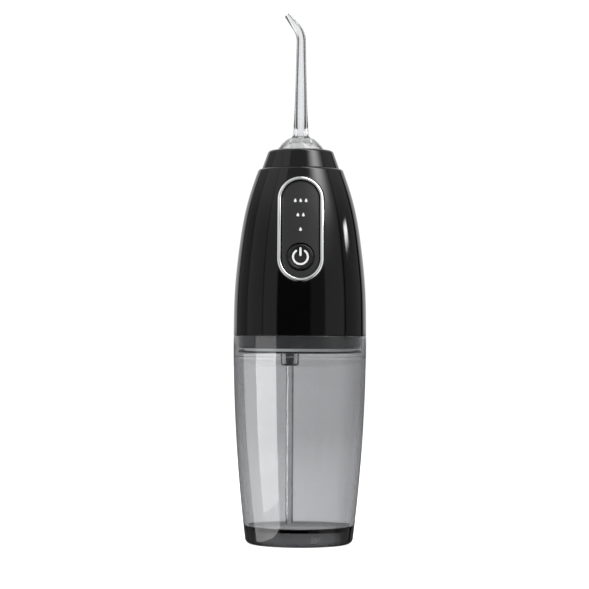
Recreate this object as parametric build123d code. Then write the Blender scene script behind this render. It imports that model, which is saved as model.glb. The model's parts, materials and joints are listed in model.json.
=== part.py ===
from build123d import *
from math import acos, cos, pi, radians, sin, sqrt, tan
import os

# Cordless water flosser, standing upright. Millimetres, +Z up, the front faces -Y.
# The origin is the centre of the tank's foot, on the surface it stands on.

# ---- driving dimensions: the outside -----------------------------------------------------
seam_z = 105.0             # joint between the tank and the handle
seam_r = 33.6              # the widest radius, at the joint
tank_curve_r = 839.0       # long arc of the tank's side, upright at the joint
tank_wall = 2.0
tank_foot_fillet = 2.8
tank_floor_z = 8.9
foot_recess_r = 23.2
foot_recess_z = 7.4
rim_bore_r = 31.6          # bore that takes the plug
rim_bore_z = 94.6

shell_wall = 2.6
shell_top_z = 189.5
shell_side = [(33.6, 105.0), (33.0, 130.0), (30.2, 155.5), (27.0, 172.0), (21.3, 189.5)]
neck_hole_r = 17.5

collar_low_z = 189.6
collar_top_z = 199.0
collar_low_r = 19.7
collar_mid_r = 17.9
collar_mid_z = 194.6
collar_top_r = 16.3

# ---- the plug that closes the handle and enters the tank ---------------------------------
plug_r = 31.52             # 0.08 mm running clearance in the tank's rim
plug_flange_z = 98.6       # underside of the skirt's wide part
plug_neck_r = 28.0
plug_inner_r = 26.0
plug_low_z = 96.0
plug_top_z = 109.2
seal_r = 31.57
seal_top_z = 97.0
boss_r = 2.85
boss_low_z = 97.2
tube_x = -5.0
tube_r = 2.0
tube_bore_r = 1.3
tube_end_z = 10.0
nut_r = 4.85
nut_low_z = 89.8
channel_z = 107.1
channel_r = 1.1
plug_screw_r = 23.0
plug_screw_angles = (60.0, 180.0, 300.0)

# ---- control panel on the front ----------------------------------------------------------
panel_z = 158.0
ring_w = 23.0
ring_h = 52.5
ring_band = 1.8
ring_proud = 0.55
pocket_depth = 1.6
lens_sunk = 0.35
ledge_w = 16.8
ledge_h = 46.2
button_z = 144.6
button_r = 6.3
button_gap_r = 7.5
button_travel = 0.5
board_tilt = 7.0
board_y = -22.6            # front face of the board at the height of the panel's centre
board_w = 17.0
board_h = 44.0
board_t = 1.2
mode_heights = (172.2, 165.0, 157.8)

# ---- drive -------------------------------------------------------------------------------
motor_y = -9.0
motor_r = 12.2
motor_low_z = 110.4
motor_top_z = 141.2
shaft_r = 1.0
shaft_top_z = 149.2
gear_module = 0.6
pinion_teeth = 12
wheel_teeth = 36
pressure_angle = 25.0
tooth_slack = 0.08
gear_x = -gear_module * (pinion_teeth + wheel_teeth) / 2
gear_low_z = 144.5
gear_top_z = 149.2
crank_throw = 1.5
crank_pin_r = 1.25
axle_r = 1.5
fit = 0.05                 # radial clearance of every running fit

# ---- pump --------------------------------------------------------------------------------
pump_z = 153.0
bore_r = 4.0
cylinder_low_x = 5.5
head_low_x = 16.0
head_high_x = 22.3
valve_x = 18.9
valve_bore_r = 2.7
valve_lift = 0.6
barb_r = 1.9
hose_r = 3.0

# ---- top: nozzle, its turning knob and their socket --------------------------------------
socket_r = 6.8
socket_low_z = 168.0
socket_top_z = 189.0
sleeve_r = 5.5
sleeve_bore_r = 3.95
sleeve_low_z = 192.0
dome_ball_r = 13.3         # the dome is a cap of a ball
dome_ball_z = 193.4
dome_top_z = 205.3
nozzle_bend_z = 255.0
nozzle_bend_r = 12.0
nozzle_lean = 36.0
nozzle_reach = 8.0
nozzle_end_r = 1.85
nozzle_side = [(4.25, 206.3), (3.85, 210.0), (3.5, 215.0), (3.22, 221.0), (2.92, 230.0), (2.63, 241.0),
               (2.42, 250.0), (2.32, 255.0)]
nozzle_bore = [(1.2, 185.0), (1.6, 200.0), (2.1, 206.0), (1.9, 232.0), (1.4, 255.0)]

# ---- back: release button and charging port ----------------------------------------------
release_travel = 1.5
release_z = 194.4
port_z = 121.2
port_flap_w = 13.0
port_flap_h = 8.4
port_hinge_y = 32.7
port_hinge_z = 117.6

# ---- inside frame ------------------------------------------------------------------------
battery_y = 15.0
battery_r = 9.15
battery_low_z = 110.6
battery_h = 50.0
spine_low_y = 3.55
spine_high_y = 5.55
shelf_low_z = 141.2
shelf_top_z = 143.2
crown_low_z = 177.0
crown_top_z = 179.0

UP = (Align.CENTER, Align.CENTER, Align.MIN)


# ---- helpers -----------------------------------------------------------------------------
def disc(radius, low, high, x=0.0, y=0.0):
    """Upright cylinder between two heights."""
    return Pos(x, y, low) * Cylinder(radius, high - low, align=UP)


def pipe(outer, inner, low, high, x=0.0, y=0.0):
    """Upright tube between two heights."""
    return disc(outer, low, high, x, y) - disc(inner, low - 1, high + 1, x, y)


def block(x_low, x_high, y_low, y_high, z_low, z_high):
    """Box between two corners."""
    corner = (Align.MIN, Align.MIN, Align.MIN)
    return Pos(x_low, y_low, z_low) * Box(x_high - x_low, y_high - y_low, z_high - z_low, align=corner)


def bar(radius, start, end):
    """Round bar between two points."""
    run = Vector(*end) - Vector(*start)
    return Plane(origin=start, z_dir=run) * Cylinder(radius, run.length, align=UP)


def turned(points):
    """Solid of revolution of a closed polygon of (radius, height) points."""
    outline = Polyline(*[(r, 0, z) for r, z in points], close=True)
    return revolve(make_face(outline), Axis.Z)


def coil(radius, wire_r, low, high, turns, x=0.0, y=0.0):
    """Upright compression spring between two heights, wire included."""
    height = high - low - 2 * wire_r
    path = Helix(pitch=height / turns, height=height, radius=radius)
    start = Plane(origin=path @ 0, z_dir=path % 0)
    return Pos(x, y, low + wire_r) * sweep(start * Circle(wire_r), path=path)


def spoke(shape, angle):
    """Turns a shape about the upright axis."""
    return Rot(0, 0, angle) * shape


def save(name, shape):
    """Writes one sub-part."""
    shape.label = name
    export_step(shape, f"parts/{name}.step")
    return shape


# ---- tank --------------------------------------------------------------------------------
def tank_radius(z, inset=0.0):
    return seam_r - (seam_z - z) ** 2 / (2 * tank_curve_r) - inset


def tank_side(low, high, inset):
    """Arc of the tank's side, set in by a wall, from one height to another."""
    middle = (low + high) / 2
    ends = [(tank_radius(z, inset), 0, z) for z in (low, middle, high)]
    return ThreePointArc(*ends)


def tank_core(low, high, inset):
    """Solid inside the tank's side."""
    side = tank_side(low, high, inset)
    outline = Polyline(side @ 1, (0, 0, high), (0, 0, low), side @ 0)
    return revolve(make_face([side, outline]), Axis.Z)


def tank_cup():
    """Clear cup with a hollow foot and a straight bore at its rim."""
    body = tank_core(0, seam_z, 0)
    foot_edge = body.edges().filter_by(GeomType.CIRCLE).sort_by(Axis.Z)[0]
    body = fillet(foot_edge, tank_foot_fillet)
    rim_edge = body.edges().filter_by(GeomType.CIRCLE).sort_by(Axis.Z)[-1]
    body = chamfer(rim_edge, 0.3)
    water = tank_core(tank_floor_z, rim_bore_z + 0.5, tank_wall)
    water = fillet(water.edges().filter_by(GeomType.CIRCLE).sort_by(Axis.Z)[0], 0.8)
    recess = disc(foot_recess_r, -1, foot_recess_z)
    recess = fillet(recess.edges().filter_by(GeomType.CIRCLE).sort_by(Axis.Z)[-1], 1.4)
    rim = disc(rim_bore_r, rim_bore_z, seam_z + 1)
    return body - water - recess - rim


# ---- handle shell and its trim -----------------------------------------------------------
def handle_core(inset):
    """Solid inside the handle's side, set in by a wall."""
    side = Spline(*[(r - inset, 0, z) for r, z in shell_side], tangents=[(0, 0, 1), (-0.38, 0, 1)])
    top = shell_side[-1][1]
    outline = Polyline(side @ 1, (0, 0, top), (0, 0, seam_z), side @ 0)
    return revolve(make_face([side, outline]), Axis.Z)


def front_prism(sketch, centre_z):
    """Flat outline stood up in the XZ plane and pushed out through the front wall."""
    return extrude(Plane.XZ * Pos(0, centre_z) * sketch, amount=45)


def back_prism(sketch, centre_z):
    """Flat outline stood up in the XZ plane and pushed out through the back wall."""
    return extrude(Plane.XZ * Pos(0, centre_z) * sketch, amount=-45)


def panel_outline(trim):
    """Upright oval of the control panel, smaller all round by a trim."""
    return Rot(0, 0, 90) * SlotOverall(ring_h - 2 * trim, ring_w - 2 * trim)


def flap_outline(trim):
    """Rounded outline of the charging port's flap, smaller all round by a trim."""
    return RectangleRounded(port_flap_w - 2 * trim, port_flap_h - 2 * trim, 2.2 - trim)


def body_shell():
    """One-piece handle shell, open below, with the panel's pocket and the port's recess."""
    body = handle_core(0)
    circles = body.edges().filter_by(GeomType.CIRCLE)
    body = fillet(circles.sort_by(Axis.Z)[-1], 1.0)
    body = chamfer(body.edges().filter_by(GeomType.CIRCLE).sort_by(Axis.Z)[0], 0.25)
    room = handle_core(shell_wall) & disc(40, seam_z, shell_top_z - 2.0)
    pocket = front_prism(panel_outline(0), panel_z) - handle_core(pocket_depth)
    ledge_hole = Rot(0, 0, 90) * SlotOverall(ledge_h, ledge_w)
    port_pocket = back_prism(flap_outline(-0.3), port_z) - handle_core(1.7)
    port_hole = back_prism(RectangleRounded(10.6, 5.0, 2.0), port_z)
    body = body - room - disc(neck_hole_r, shell_top_z - 3, shell_top_z + 1)
    body = body - pocket - front_prism(ledge_hole, panel_z)
    return body - port_pocket - port_hole


def trim_ring():
    """Bright oval band that lies in the shell's pocket and stands a little proud."""
    band = front_prism(panel_outline(0), panel_z) - front_prism(panel_outline(ring_band), panel_z)
    return band & (handle_core(-ring_proud) - handle_core(pocket_depth))


def control_panel():
    """Dark lens inside the trim ring, with the button's hole."""
    lens = front_prism(panel_outline(ring_band), panel_z)
    lens = lens & (handle_core(lens_sunk) - handle_core(pocket_depth))
    return lens - front_prism(Circle(button_gap_r), button_z)


# ---- power button, on an axis square to the board ----------------------------------------
def panel_plane(height, y):
    """Plane that faces out through the panel, tilted like the board."""
    tilt = radians(board_tilt)
    return Plane(origin=(0, y, height), x_dir=(1, 0, 0), z_dir=(0, -cos(tilt), sin(tilt)))


button_plane = panel_plane(button_z, -31.5)
board_plane = panel_plane(panel_z, board_y)
board_depth = (31.5 + board_y - (panel_z - button_z) * tan(radians(board_tilt))) * cos(radians(board_tilt))


def plate(plane, sketch, low, high):
    """Flat outline thickened between two heights above a plane."""
    return extrude(plane.offset(low) * sketch, amount=high - low)


def button_cap():
    """Dished cap with a stem and a flange that keeps it behind the lens."""
    cap = plate(button_plane, Circle(button_r), -3.5, 0.35)
    front = cap.edges().filter_by(GeomType.CIRCLE).sort_by(Axis.Y)[0]
    cap = fillet(front, 0.45)
    dish = button_plane * Pos(0, 0, -0.2) * Cone(5.1, 5.55, 1.0, align=UP)
    flange = plate(button_plane, Circle(button_r + 1.6), -3.5, -2.9)
    stem = plate(button_plane, Circle(1.5), -3.55, -2.6)
    return cap + flange + stem - dish - plate(button_plane, symbol_outline(), -0.8, 0.2)


def symbol_outline():
    """Standby sign: a ring open at the top with a short bar in the opening."""
    ring = Circle(4.3) - Circle(2.9)
    ring = ring - Pos(0, 3.4) * Rectangle(3.6, 3.4)
    bar_sign = Pos(0, 2.4) * SlotOverall(4.8, 1.4, rotation=90)
    return ring + bar_sign


def power_symbol():
    """Pale light-guide inlay in the cap's dish, almost flush."""
    return plate(button_plane, symbol_outline(), -0.8, -0.15)


def button_pad():
    """Silicone skirt that pushes the cap out and seals it to the board."""
    return plate(button_plane, Circle(6.2) - Circle(4.6), -board_depth, -3.5)


def tact_switch():
    """Small square switch on the board with a round plunger."""
    body = plate(button_plane, Rectangle(6, 6), -board_depth, 2.5 - board_depth)
    return body + plate(button_plane, Circle(1.7), 2.5 - board_depth, -4.1)


def control_board():
    """Printed circuit board behind the panel."""
    board = plate(board_plane, RectangleRounded(board_w, board_h, 1.5), -board_t, 0)
    return board - plate(board_plane, Pos(0, board_h / 2 - 2.5) * Circle(1.0), -3, 1)


def mode_offset(height):
    """Distance along the board of a thing that is seen at a height on the panel."""
    return (height - panel_z) / cos(radians(board_tilt))


def status_leds():
    """Three light-emitting diodes on the board, one for each mode."""
    return [plate(board_plane, Pos(0, mode_offset(z)) * Rectangle(3.0, 1.6), 0, 1.0) for z in mode_heights]


def light_guide():
    """Clear comb that brings the light of each diode to the lens."""
    comb = plate(board_plane, Pos(0, mode_offset(mode_heights[1])) * Rectangle(9.0, 19.5), 1.2, 2.4)
    for z in mode_heights:
        comb += plate(board_plane, Pos(0, mode_offset(z)) * Rectangle(6.6, 3.4), 2.0, 12)
    return comb & handle_core(pocket_depth + 0.1)


def board_chips():
    """Controller and charger chips on the back of the board."""
    chips = []
    for x, y, wide, tall in [(-3.0, 4.0, 6.0, 5.0), (4.0, 3.0, 4.0, 4.0), (-2.0, 13.0, 5.0, 4.0)]:
        chips.append(plate(board_plane, Pos(x, y) * Rectangle(wide, tall), -board_t - 1.0, -board_t))
    return chips


# ---- base plug, seal and suction tube ----------------------------------------------------
def base_plug():
    """Plate and skirt that close the handle, with the channel from the tube to the inlet hose."""
    body = turned([
        (plug_inner_r, plug_low_z), (plug_neck_r, plug_low_z), (plug_neck_r, plug_flange_z),
        (plug_r, plug_flange_z), (plug_r, seam_z), (seam_r - shell_wall - 0.05, seam_z),
        (seam_r - shell_wall - 0.2, plug_top_z), (0, plug_top_z), (0, seam_z), (plug_inner_r, seam_z)])
    body += disc(boss_r, boss_low_z, seam_z + 1, tube_x)
    body += disc(barb_r, plug_top_z, plug_top_z + 7, valve_x, motor_y)
    body -= disc(tube_r, boss_low_z - 1, boss_low_z + 3, tube_x)
    body -= disc(channel_r, boss_low_z, channel_z, tube_x)
    body -= bar(channel_r, (tube_x, 0, channel_z), (valve_x, motor_y, channel_z))
    body -= disc(channel_r, channel_z, plug_top_z + 8, valve_x, motor_y)
    for angle in plug_screw_angles:
        body -= spoke(disc(2.1, seam_z - 1, seam_z + 1.6, plug_screw_r), angle)
        body -= spoke(disc(1.05, seam_z, plug_top_z + 1, plug_screw_r), angle)
    return body


def tank_seal_ring():
    """Dark lip seal under the skirt's neck, chamfered below."""
    return turned([
        (plug_neck_r, plug_low_z), (seal_r, seal_top_z - 0.6), (seal_r, seal_top_z),
        (plug_neck_r, seal_top_z)])


def tube_nut():
    """Glossy sleeve nut that clamps the suction tube under the plug."""
    body = disc(nut_r, nut_low_z, boss_low_z, tube_x)
    body = fillet(body.edges().filter_by(GeomType.CIRCLE).sort_by(Axis.Z)[0], 1.0)
    return body - disc(tube_r, nut_low_z - 1, boss_low_z + 1, tube_x)


def suction_tube():
    """Clear tube that reaches almost to the tank's floor, cut off square."""
    return pipe(tube_r, tube_bore_r, tube_end_z, boss_low_z + 3, tube_x)


# ---- inner chassis -----------------------------------------------------------------------
def inner_chassis():
    """Moulded frame: base disc, upright spine, motor shelf, crown plate and the board's rails."""
    frame = disc(27.5, plug_top_z, plug_top_z + 1.0)
    for angle in plug_screw_angles:
        frame += spoke(disc(2.2, plug_top_z, plug_top_z + 4.0, plug_screw_r), angle)
    frame += block(-17, 17, spine_low_y, spine_high_y, plug_top_z, crown_low_z + 1)
    shelf = disc(22.6, shelf_low_z, shelf_top_z) & block(-24, 15.2, -24, spine_low_y + 1, 0, 300)
    crown = disc(20.0, crown_low_z, crown_top_z)
    frame = frame + shelf + crown
    for side in (-1, 1):
        rail = plate(board_plane, Pos(side * 9.4, -1.0) * Rectangle(1.6, 42.0), -3.6, 0)
        frame += rail & block(-30, 30, -40, 0, shelf_low_z, crown_top_z)
        frame += Pos(side * 9.4, 0, 0) * block(-0.8, 0.8, -24.5, -18, shelf_low_z, shelf_top_z)
        cheek = block(-1, 1, spine_high_y, spine_high_y + 8, plug_top_z, plug_top_z + 30)
        frame += Pos(side * 10.4, 0, 0) * cheek
    frame -= disc(3.4, plug_top_z - 1, plug_top_z + 3, valve_x, motor_y)
    frame -= disc(3.05, shelf_low_z - 1, shelf_top_z + 1, 0, motor_y)
    frame -= disc(axle_r, shelf_low_z - 2, shelf_top_z + 1, gear_x, motor_y)
    frame -= disc(socket_r, crown_low_z - 1, crown_top_z + 1)
    frame -= disc(socket_r + 0.3, socket_low_z - 1, crown_low_z)
    frame -= block(-board_w / 2 - 0.1, board_w / 2 + 0.1, -30, -17.9, crown_low_z - 1, crown_top_z + 1)
    for x in (-8, 8):
        frame -= disc(1.0, shelf_low_z - 1, shelf_top_z + 1, x, motor_y)
    for angle in plug_screw_angles:
        frame -= spoke(disc(1.05, plug_top_z - 1, plug_top_z + 3, plug_screw_r), angle)
    return frame


def plug_screws():
    """Three self-tapping screws up through the plug into the chassis."""
    screw = disc(2.0, seam_z + 0.3, seam_z + 1.6, plug_screw_r)
    screw += disc(1.05, seam_z + 1, plug_top_z + 2.8, plug_screw_r)
    screw -= block(plug_screw_r - 1.5, plug_screw_r + 1.5, -0.3, 0.3, seam_z, seam_z + 0.9)
    return [spoke(screw, angle) for angle in plug_screw_angles]


def motor_screws():
    """Two screws that hold the motor under the shelf."""
    shank = 1.0
    screws = []
    for x in (-8, 8):
        head = disc(1.9, shelf_top_z, shelf_top_z + 1.0, x, motor_y)
        head -= block(x - 1.4, x + 1.4, motor_y - 0.25, motor_y + 0.25, shelf_top_z + 0.6, shelf_top_z + 2)
        screws.append(head + disc(shank, shelf_low_z - 1.1, shelf_top_z + 0.2, x, motor_y))
    return screws


def battery_cell():
    """Round lithium cell with a raised positive end."""
    body = disc(battery_r, battery_low_z, battery_low_z + battery_h - 1, 0, battery_y)
    body = fillet(body.edges().filter_by(GeomType.CIRCLE), 0.5)
    return body + disc(3.0, battery_low_z + battery_h - 1.2, battery_low_z + battery_h, 0, battery_y)


# ---- motor -------------------------------------------------------------------------------
def motor_can():
    """Steel can of the motor with its bearing boss at the top."""
    body = disc(motor_r, motor_low_z, motor_top_z, 0, motor_y)
    body = fillet(body.edges().filter_by(GeomType.CIRCLE).sort_by(Axis.Z)[-1], 1.0)
    body += disc(3.05, motor_top_z - 0.5, shelf_top_z - 0.4, 0, motor_y)
    body -= disc(motor_r - 1.2, motor_low_z - 1, motor_top_z - 1.2, 0, motor_y)
    for x in (-8, 8):
        body -= disc(1.0, motor_top_z - 2, motor_top_z + 1, x, motor_y)
    return body - disc(shaft_r + fit, motor_top_z - 3, shelf_top_z, 0, motor_y)


def motor_end_cap():
    """Plastic cap that closes the can below and carries the brushes."""
    body = disc(motor_r - 1.2, motor_low_z, motor_low_z + 3.0, 0, motor_y)
    return body - disc(shaft_r + fit, motor_low_z + 0.8, motor_low_z + 4, 0, motor_y)


def motor_magnets():
    """Two curved magnets inside the can."""
    ring = pipe(motor_r - 1.25, motor_r - 3.2, motor_low_z + 5, motor_top_z - 4, 0, motor_y)
    gap = block(-3.5, 3.5, motor_y - 15, motor_y + 15, 0, 300)
    return (ring - gap).solids()


def motor_shaft():
    """Steel shaft from the end cap to the top of the pinion."""
    return disc(shaft_r, motor_low_z + 0.9, shaft_top_z, 0, motor_y)


def motor_armature():
    """Wound core with three poles and a commutator below it, pressed on the shaft."""
    low = motor_low_z + 7
    high = motor_top_z - 5
    core = disc(motor_r - 4.2, low, high, 0, motor_y)
    for angle in (30, 150, 270):
        slot = block(3.4, 10, -1.6, 1.6, low - 1, high + 1)
        core -= Pos(0, motor_y, 0) * Rot(0, 0, angle) * slot
    core += disc(2.8, motor_low_z + 3.4, low + 0.5, 0, motor_y)
    return core - disc(shaft_r, 0, 300, 0, motor_y)


# ---- gears -------------------------------------------------------------------------------
def roll_angle(base, radius):
    """Involute angle of a point of the flank at a radius."""
    pressure = acos(base / radius)
    return tan(pressure) - pressure


def gear(teeth, low, high, first_tooth):
    """Spur gear with involute flanks, one tooth centred on an angle in degrees."""
    pitch_r = gear_module * teeth / 2
    base = pitch_r * cos(radians(pressure_angle))
    tip = pitch_r + 0.9 * gear_module
    root = pitch_r - 1.2 * gear_module
    half_tooth = pi / (2 * teeth) - tooth_slack / (2 * pitch_r) + roll_angle(base, pitch_r)
    start = max(base, root)
    half_foot = half_tooth - roll_angle(base, start)
    flank_radii = [start + (tip - start) * step / 3 for step in range(4)]

    def spot(radius, angle):
        return (radius * cos(angle), radius * sin(angle))

    edges = []
    for tooth in range(teeth):
        middle = radians(first_tooth) + 2 * pi * tooth / teeth
        after = middle + 2 * pi / teeth
        right = [spot(r, middle - half_tooth + roll_angle(base, r)) for r in flank_radii]
        left = [spot(r, middle + half_tooth - roll_angle(base, r)) for r in flank_radii]
        foot_left = spot(root, middle + half_foot)
        foot_right = spot(root, after - half_foot)
        edges.append(Spline(*right))
        edges.append(ThreePointArc(right[-1], spot(tip, middle), left[-1]))
        edges.append(Spline(*reversed(left)))
        if root < start:
            edges.append(Line(left[0], foot_left))
            edges.append(Line(foot_right, spot(start, after - half_foot)))
        edges.append(ThreePointArc(foot_left, spot(root, (middle + after) / 2), foot_right))
    return Pos(0, 0, low) * extrude(make_face(edges), amount=high - low)


def motor_pinion():
    """Small brass gear pressed on the motor's shaft."""
    wheel = Pos(0, motor_y, 0) * gear(pinion_teeth, gear_low_z, gear_top_z - 0.5, 180)
    return wheel - disc(shaft_r, 0, 300, 0, motor_y)


def drive_gear():
    """Large moulded gear that turns on a stub axle and carries the crank pin."""
    wheel = gear(wheel_teeth, gear_low_z, gear_top_z - 0.4, 180 / wheel_teeth)
    recess = pipe(8.6, 4.2, gear_low_z + 2.6, gear_top_z + 1)
    wheel = wheel - recess + disc(4.2, gear_low_z, gear_top_z + 1.2)
    wheel = wheel - disc(axle_r + fit, gear_low_z - 1, gear_top_z - 1.2)
    wheel = wheel - disc(crank_pin_r, gear_top_z - 1.0, gear_top_z + 2, 0, crank_throw)
    return Pos(gear_x, motor_y, 0) * wheel


def gear_axle():
    """Stub axle pressed into the shelf under the drive gear."""
    return disc(axle_r, shelf_low_z, gear_top_z - 1.4, gear_x, motor_y)


def crank_pin():
    """Steel pin set off the gear's centre, which drives the yoke."""
    return disc(crank_pin_r, gear_top_z - 1.0, pump_z + 1.5, gear_x, motor_y + crank_throw)


# ---- pump --------------------------------------------------------------------------------
def piston_yoke():
    """Slotted yoke and its rod; the slot leaves the pin free at every position of both."""
    slot_x = crank_pin_r + 2 * crank_throw + 0.3
    slot_y = crank_pin_r + crank_throw + 0.3
    yoke = block(-slot_x - 2, slot_x + 2, -slot_y - 2, slot_y + 2, -1.3, 1.3)
    yoke = fillet(yoke.edges().filter_by(Axis.Z), 1.5)
    yoke -= block(-slot_x, slot_x, -slot_y, slot_y, -5, 5)
    yoke = Pos(gear_x, motor_y, pump_z) * yoke
    rod = bar(1.8, (gear_x + slot_x + 1.5, motor_y, pump_z), (cylinder_low_x + 2, motor_y, pump_z))
    return yoke + rod


def pump_piston():
    """Grooved piston head on the end of the rod."""
    low = cylinder_low_x + 2
    body = bar(bore_r - fit, (low, motor_y, pump_z), (low + 5.5, motor_y, pump_z))
    groove = bar(bore_r + 1, (low + 2, motor_y, pump_z), (low + 3.6, motor_y, pump_z))
    groove -= bar(bore_r - 1.2, (low, motor_y, pump_z), (low + 5, motor_y, pump_z))
    return body - groove


def piston_seal():
    """Ring seal in the piston's groove."""
    low = cylinder_low_x + 4
    ring = bar(bore_r - 0.02, (low, motor_y, pump_z), (low + 1.6, motor_y, pump_z))
    ring -= bar(bore_r - 1.2, (low - 1, motor_y, pump_z), (low + 3, motor_y, pump_z))
    return fillet(ring.edges().filter_by(GeomType.CIRCLE).group_by(SortBy.RADIUS)[-1], 0.35)


def pump_screw_spots():
    """Corners of the pump head where its screws go, as (y, z)."""
    return [(motor_y + 3.75 * a, pump_z + 4.3 * b) for a in (-1, 1) for b in (-1, 1)]


def pump_cylinder():
    """Barrel of the pump with the flange that the head is screwed to."""
    body = bar(6.0, (cylinder_low_x, motor_y, pump_z), (head_low_x, motor_y, pump_z))
    body += bar(7.2, (head_low_x - 3.5, motor_y, pump_z), (head_low_x, motor_y, pump_z))
    body -= bar(bore_r, (cylinder_low_x - 1, motor_y, pump_z), (head_low_x + 1, motor_y, pump_z))
    for y, z in pump_screw_spots():
        body -= bar(0.8, (head_low_x - 4, y, z), (head_low_x + 1, y, z))
    saddle = block(head_low_x - 3.5, head_low_x - 0.5, motor_y - 5, motor_y + 5, shelf_top_z, pump_z - 5.5)
    return body + saddle


def pump_head():
    """Block with one valve chamber above and one below the cylinder's port."""
    body = block(head_low_x, head_high_x, motor_y - 5, motor_y + 5, pump_z - 5.5, pump_z + 5.5)
    body = fillet(body.edges().filter_by(Axis.X), 0.8)
    body -= disc(valve_bore_r, pump_z - 6, pump_z - 0.8, valve_x, motor_y)
    body -= disc(valve_bore_r, pump_z + 1.6, pump_z + 6, valve_x, motor_y)
    body -= disc(1.5, pump_z - 2, pump_z + 3, valve_x, motor_y)
    body -= bar(1.0, (head_low_x - 1, motor_y, pump_z + 0.4), (valve_x + 0.6, motor_y, pump_z + 0.4))
    for y, z in pump_screw_spots():
        body -= bar(0.8, (head_low_x - 1, y, z), (head_high_x + 1, y, z))
    return body


def pump_screws():
    """Four long screws through the head into the cylinder's flange."""
    screws = []
    for y, z in pump_screw_spots():
        head = bar(1.1, (head_high_x, y, z), (head_high_x + 0.5, y, z))
        screws.append(head + bar(0.8, (head_low_x - 3, y, z), (head_high_x + 0.2, y, z)))
    return screws


def fitting(low, seat, direction):
    """Hose fitting: a spigot in the head's bore, a flange, and a plain barb for the hose."""
    inner = low + direction * 1.8
    flange = low - direction * 1.6
    end = flange - direction * 5.4
    body = disc(valve_bore_r, min(low, inner), max(low, inner), valve_x, motor_y)
    body += disc(2.85, min(low, flange), max(low, flange), valve_x, motor_y)
    body += disc(barb_r, min(end, flange), max(end, flange), valve_x, motor_y)
    return body - disc(seat, min(end, inner) - 1, max(end, inner) + 1, valve_x, motor_y)


def inlet_fitting():
    return fitting(pump_z - 5.5, 1.0, 1)


def outlet_fitting():
    return fitting(pump_z + 5.5, 1.0, -1)


def valve(low):
    """Small mushroom valve that lies on its seat at a height."""
    return disc(2.2, low, low + 0.8, valve_x, motor_y) + disc(0.8, low + 0.8, low + 1.4, valve_x, motor_y)


def inlet_valve():
    return valve(pump_z - 3.65)


def outlet_valve():
    return valve(pump_z + 1.65)


def inlet_valve_spring():
    return coil(1.5, 0.16, pump_z - 2.83, pump_z - 0.82, 3, valve_x, motor_y)


def outlet_valve_spring():
    return coil(1.5, 0.16, pump_z + 2.47, pump_z + 3.68, 2, valve_x, motor_y)


def inlet_hose():
    """Silicone hose from the plug up to the pump's inlet."""
    return pipe(hose_r, barb_r, plug_top_z + 2.3, pump_z - 7.2, valve_x, motor_y)


socket_aim = Vector(valve_x, motor_y, 0).normalized()
socket_port_z = 172.0


def outlet_hose():
    """Silicone hose from the pump's outlet, bent over to the nozzle's socket."""
    start = Vector(valve_x, motor_y, pump_z + 7.2)
    corner = Vector(valve_x, motor_y, socket_port_z)
    end = socket_aim * (socket_r + 0.2) + Vector(0, 0, socket_port_z)
    path = FilletPolyline(start, corner, end, radius=7.5)
    section = Plane(origin=start, z_dir=(0, 0, 1)) * (Circle(hose_r) - Circle(barb_r))
    return sweep(section, path=path)


# ---- nozzle socket, turning knob and nozzle ----------------------------------------------
def nozzle_socket():
    """Fixed socket in the crown plate that feeds water to the nozzle's end."""
    body = disc(socket_r, socket_low_z, socket_top_z) + disc(10.0, crown_top_z, crown_top_z + 1.6)
    port_end = socket_aim * (socket_r + 6.0) + Vector(0, 0, socket_port_z)
    body += bar(barb_r, (0, 0, socket_port_z), port_end)
    body -= bar(1.0, (0, 0, socket_port_z), port_end + socket_aim)
    body -= disc(1.0, socket_port_z, socket_top_z)
    body -= disc(2.7, 184.0, socket_top_z)
    return body - disc(4.4, 186.6, socket_top_z + 1)


def nozzle_seal():
    """Ring seal that grips the nozzle's end in the socket."""
    return turned([(2.55, 187.0), (2.9, 186.65), (4.4, 186.65), (4.4, 188.8), (2.9, 188.8), (2.55, 188.4)])


def neck_collar():
    """Cone that closes the top of the handle and carries the knob's bearing."""
    top = collar_top_z
    body = turned([
        (0, collar_low_z), (collar_low_r, collar_low_z), (collar_mid_r, collar_mid_z),
        (collar_top_r, top), (0, top)])
    body = fillet(body.edges().filter_by(GeomType.CIRCLE).sort_by(Axis.Z)[-1], 1.2)
    body += pipe(neck_hole_r, neck_hole_r - 1.8, 186.0, collar_low_z)
    room_r = neck_hole_r - 1.8
    room = turned([(0, 185), (room_r, 185), (room_r, 190.5), (13.6, top - 1.6), (0, top - 1.6)])
    body = body - room + disc(7.6, 193.6, top - 1)
    body -= disc(sleeve_r + fit, 180, top + 1)
    return body - block(-4.75, 4.75, 10, 30, release_z - 2.35, release_z + 2.35)


def knob_sleeve():
    """White bearing sleeve of the knob, with a lip under the collar's boss."""
    return pipe(sleeve_r, sleeve_bore_r, sleeve_low_z, dome_top_z - 0.7)


def sleeve_clip():
    """Snap ring that holds the sleeve in the collar."""
    body = pipe(6.9, sleeve_r, sleeve_low_z + 0.2, sleeve_low_z + 1.2)
    return body - block(-1.2, 1.2, -8, 0, sleeve_low_z - 1, sleeve_low_z + 2)


def tip_dome():
    """Clear domed knob that is turned by hand, hollow under its skin."""
    low = collar_top_z + 0.1
    height = low + 0.4

    def ball(z):
        return (sqrt(dome_ball_r ** 2 - (z - dome_ball_z) ** 2), 0, z)

    side = ThreePointArc(ball(height), ball((height + dome_top_z) / 2), ball(dome_top_z))
    rest = Polyline(side @ 1, (0, 0, dome_top_z), (0, 0, low), (side @ 0 - Vector(0, 0, 0.4)), side @ 0)
    body = revolve(make_face([side, rest]), Axis.Z)
    return body - disc(sleeve_r, low - 1, dome_top_z - 0.7) - disc(4.1, low, dome_top_z + 1)


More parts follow.
